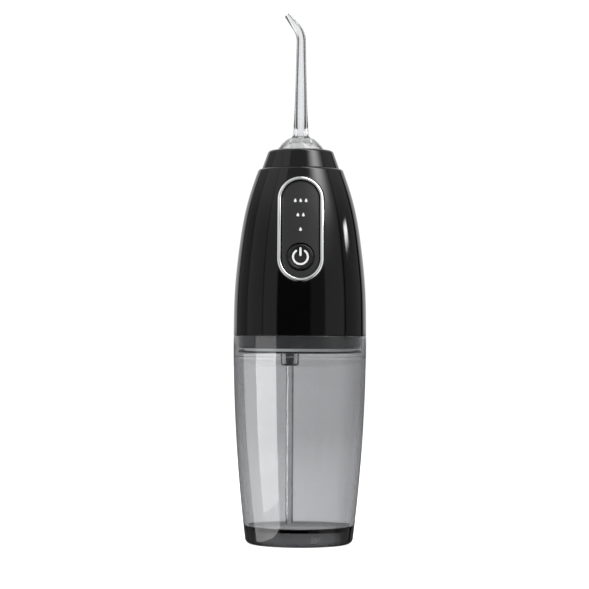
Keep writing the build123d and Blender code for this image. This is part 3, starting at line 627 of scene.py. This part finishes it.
# ---- chrome ring and the panel inside it ----------------------------------------------------
ring_line = Opening(panel_z, ring_half_w, ring_half_h, ring_half_w)
trim_floor = -1.5
ring_section = [(0.0, trim_floor), (0.0, 0.05)]
for step in range(9):
    share = step / 8
    ring_section.append((0.12 + 1.56 * share, 0.16 + 0.36 * sin(pi * (0.08 + 0.84 * share))))
ring_section += [(1.8, 0.05), (1.8, trim_floor)]
made("chrome_ring", [band_on(shell_radius, ring_line, ring_section)], "handle", "chrome_trim",
     ["trim_ring"], sharp=50)

lens_line = ring_line.grown(-2.1)
plateau_line = lens_line.grown(-0.85)
cap_hole_r = 7.05
cap_hole = Opening(button_z, cap_hole_r, cap_hole_r, cap_hole_r)
lens_depth = 0.3
bevel_section = [
    (0.0, trim_floor), (0.0, -0.66), (0.12, -0.58), (0.5, -0.56), (0.82, -0.32), (0.95, -0.32),
    (0.95, trim_floor)]
plateau_cell = 0.42
plateau = cut_skin(
    patch_grid(plateau_line, plateau_cell), False, [(plateau_line, -1), (cap_hole, 1)],
    lambda z: shell_radius(z) - lens_depth, lambda z: shell_radius(z) - 1.55,
    chamfer=0.16, cell=plateau_cell)
made("panel_lens", [plateau, band_on(shell_radius, lens_line, bevel_section)], "handle", "panel_grey",
     ["control_panel"], sharp=28)


# ---- power button ---------------------------------------------------------------------------
def on_button(v):
    """From (right, up, out) on the button's face to the frame."""
    return Vector((
        v.x,
        button_y - v.z * cos(button_tilt) + v.y * sin(button_tilt),
        button_z + v.z * sin(button_tilt) + v.y * cos(button_tilt)))


cap_r, cap_skirt_r = 6.3, 7.9
cap_low, cap_skirt_top, cap_rim_top = -3.5, -2.9, 0.35
cap_outline = rounded([
    (0.0, cap_low), (cap_skirt_r, cap_low), (cap_skirt_r, cap_skirt_top), (cap_r, cap_skirt_top),
    (cap_r, cap_rim_top, 0.5), (5.62, cap_rim_top, 0.25)])
for step in range(7):
    share = step / 6
    cap_outline.append((5.5 - 0.5 * share, 0.22 - 0.42 * sin(share * pi / 2)))
cap_outline.append((0.0, -0.2))
cap_gloss = finish("cap_gloss", (0.0115, 0.0115, 0.012), rough=0.14, vary=0.04, grain=700, bump=0.0006,
                   wave=0.004, tint=0.15)
piece("power_button", [moved(lathe(cap_outline, steps=128), on_button)], "power_key",
      cap_gloss, ["button_cap"])


def arc_band(inner, outer, start, stop, count=72):
    """Ring sector with round ends, anticlockwise, angles in degrees."""
    middle, half = (inner + outer) / 2, (outer - inner) / 2
    points = []
    for k in range(count + 1):
        turn = radians(start + (stop - start) * k / count)
        points.append((outer * cos(turn), outer * sin(turn)))
    for centre_turn, flip in ((stop, 0), (start, 1)):
        at = radians(centre_turn)
        for k in range(1, 8):
            turn = at + pi * k / 8 + (pi if flip else 0)
            points.append((middle * cos(at) + half * cos(turn), middle * sin(at) + half * sin(turn)))
        if not flip:
            for k in range(count + 1):
                turn = radians(stop + (start - stop) * k / count)
                points.append((inner * cos(turn), inner * sin(turn)))
    return points


def capsule(low, high, half, count=12):
    """Upright rounded bar."""
    points = []
    for k in range(count + 1):
        turn = pi + pi * k / count
        points.append((half * cos(turn), low + half + half * sin(turn)))
    for k in range(count + 1):
        turn = pi * k / count
        points.append((half * cos(turn), high - half + half * sin(turn)))
    return points


sign_low, sign_high, sign_bevel = -0.7, -0.13, 0.05
sign_outlines = [arc_band(3.15, 4.15, 126, 414), capsule(0.35, 4.75, 0.55)]
sign_parts = [slab(outline, sign_low, sign_high, sign_bevel) for outline in sign_outlines]
made("power_sign", [moved(part, on_button) for part in sign_parts], "power_key", "white_print",
     ["power_symbol"])


# ---- mode marks: three, two and one drops ---------------------------------------------------
def drop(x, z, size, count=28):
    """Water-drop outline about a point."""
    points = []
    for k in range(count):
        turn = 2 * pi * k / count - pi / 2
        pinch = (1 + sin(turn)) / 2
        wide = size * cos(turn) * (1 - 0.72 * pinch**1.6)
        tall = size * (1.0 + 0.28 * pinch) * sin(turn)
        points.append((x + wide, z + tall))
    return points


def on_lens(v):
    """From (right, height, out) to the lens's face."""
    return Vector((v.x, -sqrt((shell_radius(v.y) - lens_depth + v.z) ** 2 - v.x**2), v.y))


drop_size = 0.82
drop_pitch = 2.7
marks = []
for count, height in zip((3, 2, 1), mode_heights):
    for k in range(count):
        mark = drop((k - (count - 1) / 2) * drop_pitch, height - 0.1, drop_size)
        marks.append(slab(mark, low=-0.05, high=0.03))
made("mode_marks", [moved(part, on_lens) for part in marks], "handle", "white_print")

# ---- knob -----------------------------------------------------------------------------------
ball_r = 13.3
ball_z = 193.4
dome_wall = 1.5
sleeve_bore_r = 3.95
sleeve_r = 5.5


def ball_height(r, shrink=0.0):
    return ball_z + sqrt((ball_r - shrink) ** 2 - r**2)


edge_r = sqrt(ball_r**2 - (dome_low_z + 0.4 - ball_z) ** 2)
dome_outline = rounded(
    [(edge_r - 1.6, dome_low_z), (edge_r, dome_low_z, 0.25), (edge_r, dome_low_z + 0.4)]
    + [(r, ball_height(r)) for r in (11.6, 11.2, 10.6, 9.8, 9.0, 8.0, 7.0, 6.2)]
    + [(5.8, dome_top_z, 0.3), (4.15, dome_top_z, 0.2), (4.15, dome_top_z - 0.7)]
    + [(sleeve_r, dome_top_z - 0.7), (sleeve_r, dome_low_z + 3.2), (6.2, dome_low_z + 4.4)]
    + [(r, ball_height(r, dome_wall)) for r in (7.0, 8.0, 9.0, 9.6, 10.0)])
made("knob_dome", [lathe(dome_outline, steps=144)], "tip_knob", "nozzle_clear", ["tip_dome"])
sleeve_top_z = dome_top_z - 0.72
sleeve_outline = rounded([
    (sleeve_bore_r, sleeve_low_z, 0.2), (sleeve_r, sleeve_low_z, 0.2), (sleeve_r, sleeve_top_z),
    (sleeve_bore_r, sleeve_top_z, 0.2)])
made("bearing_sleeve", [lathe(sleeve_outline, steps=96)], "tip_knob", "white_moulding", ["knob_sleeve"])

# ---- nozzle ---------------------------------------------------------------------------------
bend_z = 255.0
bend_r = 12.0
lean = radians(36.0)
reach = 8.0
end_r = 1.85
bend_outer_r = 2.32
bend_bore_r = 1.4
bend_step = 0.7
spout_z = bend_z + bend_r * lean
tip_z = spout_z + reach - 0.05
nozzle_seat_z = dome_top_z + 0.05


def bent(v):
    """Bends what is above bend_z towards -X."""
    over = v.z - bend_z
    if over <= 0:
        return v
    turn = min(over / bend_r, lean)
    straight = over - bend_r * turn
    along = Vector((-sin(turn), 0, cos(turn)))
    across = Vector((cos(turn), 0, sin(turn)))
    middle = Vector((bend_r * (cos(turn) - 1), 0, bend_z + bend_r * sin(turn)))
    return middle + along * straight + across * v.x + Vector((0, v.y, 0))


def smooth_line(points, count):
    """Points of a smooth curve r(z) through (r, z) points."""
    result = []
    for n in range(len(points) - 1):
        p0 = points[max(n - 1, 0)]
        p1, p2 = points[n], points[n + 1]
        p3 = points[min(n + 2, len(points) - 1)]
        for k in range(count):
            t = k / count
            r = 0.5 * (2 * p1[0] + (p2[0] - p0[0]) * t + (2 * p0[0] - 5 * p1[0] + 4 * p2[0] - p3[0]) * t**2
                       + (3 * p1[0] - p0[0] - 3 * p2[0] + p3[0]) * t**3)
            result.append((r, p1[1] + (p2[1] - p1[1]) * t))
    return result + [points[-1]]


side = [(4.25, 206.3), (3.85, 210.0), (3.5, 215.0), (3.22, 221.0), (2.92, 230.0), (2.63, 241.0),
        (2.42, 250.0), (bend_outer_r, bend_z)]
bore = [(1.2, nozzle_low_z), (1.6, 200.0), (2.1, 206.0), (1.9, 232.0), (bend_bore_r, bend_z)]
jet_outline = rounded(
    [(1.2, nozzle_low_z), (2.3, nozzle_low_z, 0.2), (2.5, 185.7), (2.5, 189.3, 0.2), (3.4, 189.6, 0.2),
     (3.75, 190.4, 0.3), (3.75, 191.8, 0.3), (3.0, 193.4, 0.3), (3.0, 200.2), (3.9, 201.0),
     (3.9, nozzle_seat_z), (4.5, nozzle_seat_z, 0.2), (4.6, 205.75, 0.2), (4.45, 206.2, 0.15)]
    + smooth_line(side, 3)
    + [(bend_outer_r, bend_z + s) for s in steps_between(bend_step, bend_r * lean, bend_step)]
    + [(end_r, tip_z, 0.3), (0.5, tip_z, 0.2)]
    + [(0.9, spout_z + reach * 0.55)]
    + [(bend_bore_r, bend_z + s) for s in reversed(steps_between(0.0, bend_r * lean, bend_step))]
    + smooth_line(bore[::-1], 3)[1:-1])
made("jet_nozzle", [moved(lathe(jet_outline, steps=64), bent)], "nozzle", "nozzle_clear", ["jet_tip"])

# ---- release button at the back -------------------------------------------------------------
key_line = Opening(release_z, half_w=4.5, half_h=2.1, corner=1.2, side=1)
key_cell = 0.16
key_back_r = 12.4
groove_depth = 0.28
groove_half_w = 0.3


def key_radius(z):
    """Button's face, proud of the cone, with three grip grooves."""
    off = min(abs(z - release_z - offset) for offset in (-1.0, 0.0, 1.0))
    return collar_radius(z) + 0.38 - groove_depth * max(1 - (off / groove_half_w) ** 2, 0.0)


key = cut_skin(patch_grid(key_line, key_cell), False, [(key_line, -1)], key_radius,
               lambda z: key_back_r, chamfer=0.15, cell=key_cell)
flange_w, flange_h = 5.2, 2.6
flange_y = 11.8
flange = slab([(flange_w, flange_h), (flange_w, -flange_h), (-flange_w, -flange_h), (-flange_w, flange_h)],
              low=0.0, high=1.0, bevel=0.1)
flange = moved(flange, lambda v: Vector((v.x, flange_y + v.z, release_z - 0.5 - v.y * 0.81)))
made("release_key_cap", [key, flange], "release_key", "black_gloss", ["release_button"])

# ---- charging port's flap -------------------------------------------------------------------
flap_line = Opening(port_z, half_w=6.5, half_h=4.2, corner=2.2, side=1)


def flap_radius(z):
    """Flap's face with a raised pull lip near its upper edge."""
    lip = max(1 - ((z - port_z - 3.1) / 0.55) ** 2, 0.0)
    return shell_radius(z) - 0.28 + 0.2 * lip


flap_cell = 0.3
flap = cut_skin(patch_grid(flap_line, flap_cell), False, [(flap_line, -1)], flap_radius,
                lambda z: shell_radius(z) - 1.3, chamfer=0.2, cell=flap_cell)
made("port_flap_skin", [flap], "port_flap", "dark_seal", ["port_cover"], sharp=50)
tongue_w, tongue_h = 3.7, 0.9
tongue = slab([(-tongue_w, -tongue_h), (tongue_w, -tongue_h), (tongue_w, tongue_h), (-tongue_w, tongue_h)],
              low=0.0, high=1.9, bevel=0.2)
tongue = moved(tongue, lambda v: Vector((-v.x, shell_radius(port_z) - 1.2 - v.z, port_z + v.y)))
made("port_tongue", [tongue], "port_flap", "dark_seal")


# ---- studio ---------------------------------------------------------------------------------
# painted shadow under the clear foot: how bright the floor's glow is through clear pieces, by metres from
# the centre: (distance, share)
painted_foot_shadow_reach = 0.05
painted_foot_shadow = [(0.0205, 0.55), (0.0235, 0.10), (0.027, 0.10), (0.045, 1.0)]
# painted pool of light: the floor's material glows brightest around the object; its levels, and the
# distances between which it falls off
painted_pool_near_level, painted_pool_far_level = 0.80, 0.42
painted_pool_near, painted_pool_far = 0.15, 1.3


def floor_material():
    """Pale floor that glows: a painted pool of light round the object, a painted shadow under the foot."""
    mat = bpy.data.materials.new("floor_painted_pool_and_shadow")
    mat.use_nodes = True
    nodes, links = mat.node_tree.nodes, mat.node_tree.links
    shader = nodes["Principled BSDF"]
    shader.inputs["Base Color"].default_value = (0.86, 0.87, 0.88, 1)
    shader.inputs["Roughness"].default_value = 0.7
    shader.inputs["Emission Color"].default_value = (1, 1, 1, 1)
    place = nodes.new("ShaderNodeTexCoord")
    far = nodes.new("ShaderNodeVectorMath")
    far.operation = "LENGTH"
    links.new(place.outputs["Object"], far.inputs[0])
    # painted pool of light: the floor's glow falls off with distance from the object
    painted_pool = nodes.new("ShaderNodeMapRange")
    painted_pool.interpolation_type = "SMOOTHSTEP"
    painted_pool.inputs["From Min"].default_value = painted_pool_near
    painted_pool.inputs["From Max"].default_value = painted_pool_far
    painted_pool.inputs["To Min"].default_value = painted_pool_near_level
    painted_pool.inputs["To Max"].default_value = painted_pool_far_level
    links.new(far.outputs["Value"], painted_pool.inputs["Value"])
    # painted shadow under the foot, dimming the floor's glow only for rays that come through a clear piece
    painted_shadow = nodes.new("ShaderNodeValToRGB")
    for k, (distance, value) in enumerate(painted_foot_shadow):
        stop = painted_shadow.color_ramp.elements[k] if k < 2 else painted_shadow.color_ramp.elements.new(1.0)
        stop.position = distance / painted_foot_shadow_reach
        stop.color = (value, value, value, 1)
    shrink = nodes.new("ShaderNodeMath")
    shrink.operation = "DIVIDE"
    shrink.inputs[1].default_value = painted_foot_shadow_reach
    links.new(far.outputs["Value"], shrink.inputs[0])
    links.new(shrink.outputs[0], painted_shadow.inputs["Fac"])
    path = nodes.new("ShaderNodeLightPath")
    under = nodes.new("ShaderNodeMix")
    links.new(path.outputs["Is Transmission Ray"], under.inputs["Factor"])
    under.inputs["A"].default_value = 1.0
    links.new(painted_shadow.outputs["Color"], under.inputs["B"])
    glow = nodes.new("ShaderNodeMath")
    glow.operation = "MULTIPLY"
    links.new(painted_pool.outputs["Result"], glow.inputs[0])
    links.new(under.outputs["Result"], glow.inputs[1])
    links.new(glow.outputs[0], shader.inputs["Emission Strength"])
    return mat


floor_reach = 6
floor_corners = [(x * floor_reach, y * floor_reach, 0) for x, y in ((-1, -1), (1, -1), (1, 1), (-1, 1))]
floor_mesh = bpy.data.meshes.new("floor")
floor_mesh.from_pydata(floor_corners, [], [(0, 1, 2, 3)])
floor_mesh.materials.append(floor_material())
floor = bpy.data.objects.new("floor", floor_mesh)
bpy.context.scene.collection.objects.link(floor)
floor.visible_glossy = False

world = bpy.data.worlds.new("studio")
bpy.context.scene.world = world
world.use_nodes = True
tree = world.node_tree
tree.nodes.clear()
out = tree.nodes.new("ShaderNodeOutputWorld")
light_path = tree.nodes.new("ShaderNodeLightPath")
direction = tree.nodes.new("ShaderNodeTexCoord")
split = tree.nodes.new("ShaderNodeSeparateXYZ")
tree.links.new(direction.outputs["Generated"], split.inputs["Vector"])


def math(kind, *values):
    """Arithmetic node; a value is a number or another node's output."""
    node = tree.nodes.new("ShaderNodeMath")
    node.operation = kind
    for socket, value in zip(node.inputs, values):
        if isinstance(value, (int, float)):
            socket.default_value = value
        else:
            tree.links.new(value, socket)
    return node.outputs[0]


def ramp(value, low, high, first=0.0, last=1.0):
    """Smooth change from first to last as the value goes from low to high."""
    node = tree.nodes.new("ShaderNodeMapRange")
    node.interpolation_type = "SMOOTHSTEP"
    node.inputs["From Min"].default_value = low
    node.inputs["From Max"].default_value = high
    node.inputs["To Min"].default_value = first
    node.inputs["To Max"].default_value = last
    tree.links.new(value, node.inputs["Value"])
    return node.outputs["Result"]


# directions in degrees: azimuth 0 is the front, right positive; elevation 0 is level
across, away, upward = split.outputs
azimuth = math("MULTIPLY", math("ARCTAN2", across, math("MULTIPLY", away, -1.0)), 180 / pi)
elevation = math("MULTIPLY", math("ARCSINE", upward), 180 / pi)
turned = math("ABSOLUTE", azimuth)


def window(value, low, high, soft):
    """One between low and high, fading to nothing over a soft edge at both."""
    rise = ramp(value, low - soft, low + soft)
    fall = ramp(value, high - soft, high + soft, 1.0, 0.0)
    return math("MULTIPLY", rise, fall)


def total(*values):
    result = values[0]
    for value in values[1:]:
        result = math("ADD", result, value)
    return result


def scaled(strength, *values):
    """Product of a strength and all the values."""
    result = math("MULTIPLY", values[0], strength)
    for value in values[1:]:
        result = math("MULTIPLY", result, value)
    return result


def chosen(share, yes, no):
    """Mix of two values, by a share between 0 and 1."""
    rest = math("SUBTRACT", 1.0, share)
    return math("ADD", math("MULTIPLY", share, yes), math("MULTIPLY", rest, no))


# what the gloss shows: a white backdrop behind, dim boxes at both sides, a soft box high on the
# right, a small bright one that the collar shows, a low one in front for the button, a pale top
gloss_light = total(
    scaled(0.72, ramp(turned, 138, 147), ramp(elevation, -0.5, 0.3, 0.16, 1.0)),
    scaled(0.18, window(azimuth, -138, -106, 2)),
    scaled(0.37, window(azimuth, -105, -69, 2)),
    scaled(0.43, window(azimuth, -67.5, -41, 2)),
    scaled(0.11, window(azimuth, 18, 43, 2)),
    scaled(0.42, window(azimuth, 44, 83, 3)),
    scaled(0.22, window(azimuth, 87, 133, 2)),
    scaled(7.0, window(azimuth, 36, 68, 15), math("POWER", ramp(elevation, 8, 46), 1.5)),
    scaled(16.0, window(azimuth, 96, 106, 2), window(elevation, 12.3, 15.4, 1.2)),
    scaled(0.45, ramp(turned, 8, 16, 1.0, 0.0), window(elevation, 11, 22, 2)),
    scaled(0.42, ramp(elevation, 12, 42)),
)
# what clear pieces show: white straight along Y and straight along X, dark between, lighter high up
clear_low = total(ramp(elevation, 1.0, 4.0, 0.05, 0.14), ramp(elevation, 26.0, 42.0, 0.0, 0.66))
along_y = ramp(math("ABSOLUTE", away), 0.90, 0.975)
along_x = ramp(math("ABSOLUTE", across), 0.95, 0.99)
clear_light = chosen(math("MAXIMUM", along_y, along_x), 1.0, clear_low)
pick_gloss = light_path.outputs["Is Glossy Ray"]
pick_clear = light_path.outputs["Is Transmission Ray"]
pick_camera = light_path.outputs["Is Camera Ray"]
# light that reaches a matt surface through a clear one is stronger
after_matt = math("MINIMUM", light_path.outputs["Diffuse Depth"], 1.0)
backdrop_level = 1.02
matt_level = 0.8
matt_behind_clear_level = 2.2
through_clear = chosen(after_matt, matt_behind_clear_level, clear_light)
elsewhere = chosen(pick_gloss, gloss_light, matt_level)
level = chosen(pick_camera, backdrop_level, chosen(pick_clear, through_clear, elsewhere))
background = tree.nodes.new("ShaderNodeBackground")
background.inputs["Color"].default_value = (1, 1, 1, 1)
tree.links.new(level, background.inputs["Strength"])
tree.links.new(background.outputs["Background"], out.inputs["Surface"])


def soft_box(name, place, aim, wide, tall, radiance, only, unblocked=False):
    """Rectangular light that faces a point and lights only the named pieces.

    Only the handle's shell shades an unblocked one.
    """
    data = bpy.data.lights.new(name, "AREA")
    data.shape = "RECTANGLE"
    data.size = wide
    data.size_y = tall
    data.energy = radiance * pi * wide * tall
    obj = bpy.data.objects.new(name, data)
    obj.location = place
    obj.rotation_euler = (Vector(aim) - Vector(place)).to_track_quat("-Z", "Y").to_euler()
    bpy.context.scene.collection.objects.link(obj)
    obj.visible_camera = False
    obj.visible_transmission = False
    group = bpy.data.collections.new(name + "_receivers")
    for receiver in only:
        group.objects.link(bpy.data.objects[receiver])
    obj.light_linking.receiver_collection = group
    if unblocked:
        blockers = bpy.data.collections.new(name + "_blockers")
        blockers.objects.link(bpy.data.objects["handle_shell"])
        obj.light_linking.blocker_collection = blockers


def around(azimuth_deg, distance, height, x=0.0):
    """Point beside an upright line; azimuth is from the front, right positive."""
    turn = radians(azimuth_deg)
    return (x + distance * sin(turn), -distance * cos(turn), height)


# panels that the tank's side shows, in steps of (from height, to height, radiance): brightest in
# its upper half, dim over the plug
strip_x = -0.045
strip_y, strip_wide = -0.0488, 0.0404
strip_low = -0.007
band_low = (plug_low_z - 0.6) * MM
strip_steps = [(strip_low, 0.010, 3.6), (0.010, 0.030, 6.4), (0.030, 0.050, 7.4), (0.050, 0.070, 8.4),
               (0.070, band_low, 8.8), (band_low, 0.13, 1.9)]
for number, (low, high, radiance) in enumerate(strip_steps):
    height = (low + high) / 2
    soft_box(f"tank_strip_{number}", (strip_x, strip_y, height), (0, strip_y, height), strip_wide,
             high - low, radiance, ["tank_wall", "plug_skirt", "plug_boss"])
side_y, side_wide = -0.0197, 0.0178
side_mid = (strip_low + band_low) / 2
soft_box("tank_side", (strip_x, side_y, side_mid), (0, side_y, side_mid), side_wide,
         band_low - strip_low, 2.7, ["tank_wall"])

# panels inside the tank, for the glints down the nut and the suction tube
glint_distance, glint_wide = 0.015, 0.0146
tube_line = tube_x * MM
tube_mid = 0.053
nut_mid = (nut_low_z + nut_top_z) / 2 * MM
for name, azimuth_deg, height, tall, radiance, only in (
        ("tube_glint", -68, tube_mid, 0.086, 7.0, "clear_tube"),
        ("nut_glint_left", -71, nut_mid, 0.012, 9.0, "tube_sleeve_nut"),
        ("nut_glint_right", 69, nut_mid, 0.012, 7.5, "tube_sleeve_nut")):
    soft_box(name, around(azimuth_deg, glint_distance, height, tube_line), (tube_line, 0, height),
             glint_wide, tall, radiance, [only])

# light on the pale band around the seal, a painted highlight, past everything but the handle's shell
glow_distance, glow_height, glow_size = 0.5, 0.1, 0.3
glow_aim = (0, 0, 0.098)
for name, azimuth_deg, radiance in (("band_glow_left", -55, 5.5), ("band_glow_right", 50, 2.5)):
    soft_box(name, around(azimuth_deg, glow_distance, glow_height), glow_aim, glow_size, glow_size,
             radiance, ["painted_highlight_band"], unblocked=True)

# light on the chrome ring, from both sides and the front
ring_light_distance, ring_light_height = 0.6, 0.25
ring_light_wide, ring_light_tall = 0.75, 0.9
ring_light_aim = (0, 0, 0.16)
for name, azimuth_deg, radiance in (
        ("ring_left", -78, 0.34), ("ring_right", 72, 0.62), ("ring_front", -8, 0.3)):
    soft_box(name, around(azimuth_deg, ring_light_distance, ring_light_height), ring_light_aim,
             ring_light_wide, ring_light_tall, radiance, ["chrome_ring"])

# ---- camera ---------------------------------------------------------------------------------
view = bpy.context.scene.view_settings
view.view_transform = "Standard"
view.look = "None"

camera_place = (-0.00274, -1.07, 0.10543)
camera_tip, camera_roll = radians(91.1), radians(-0.28)
camera_data = bpy.data.cameras.new("camera")
camera_data.sensor_width = 36.0
camera_data.lens = 128.8
camera_data.clip_start = 0.05
camera = bpy.data.objects.new("camera", camera_data)
camera.location = camera_place
camera.rotation_euler = (camera_tip, camera_roll, 0)
bpy.context.scene.collection.objects.link(camera)
bpy.context.scene.camera = camera
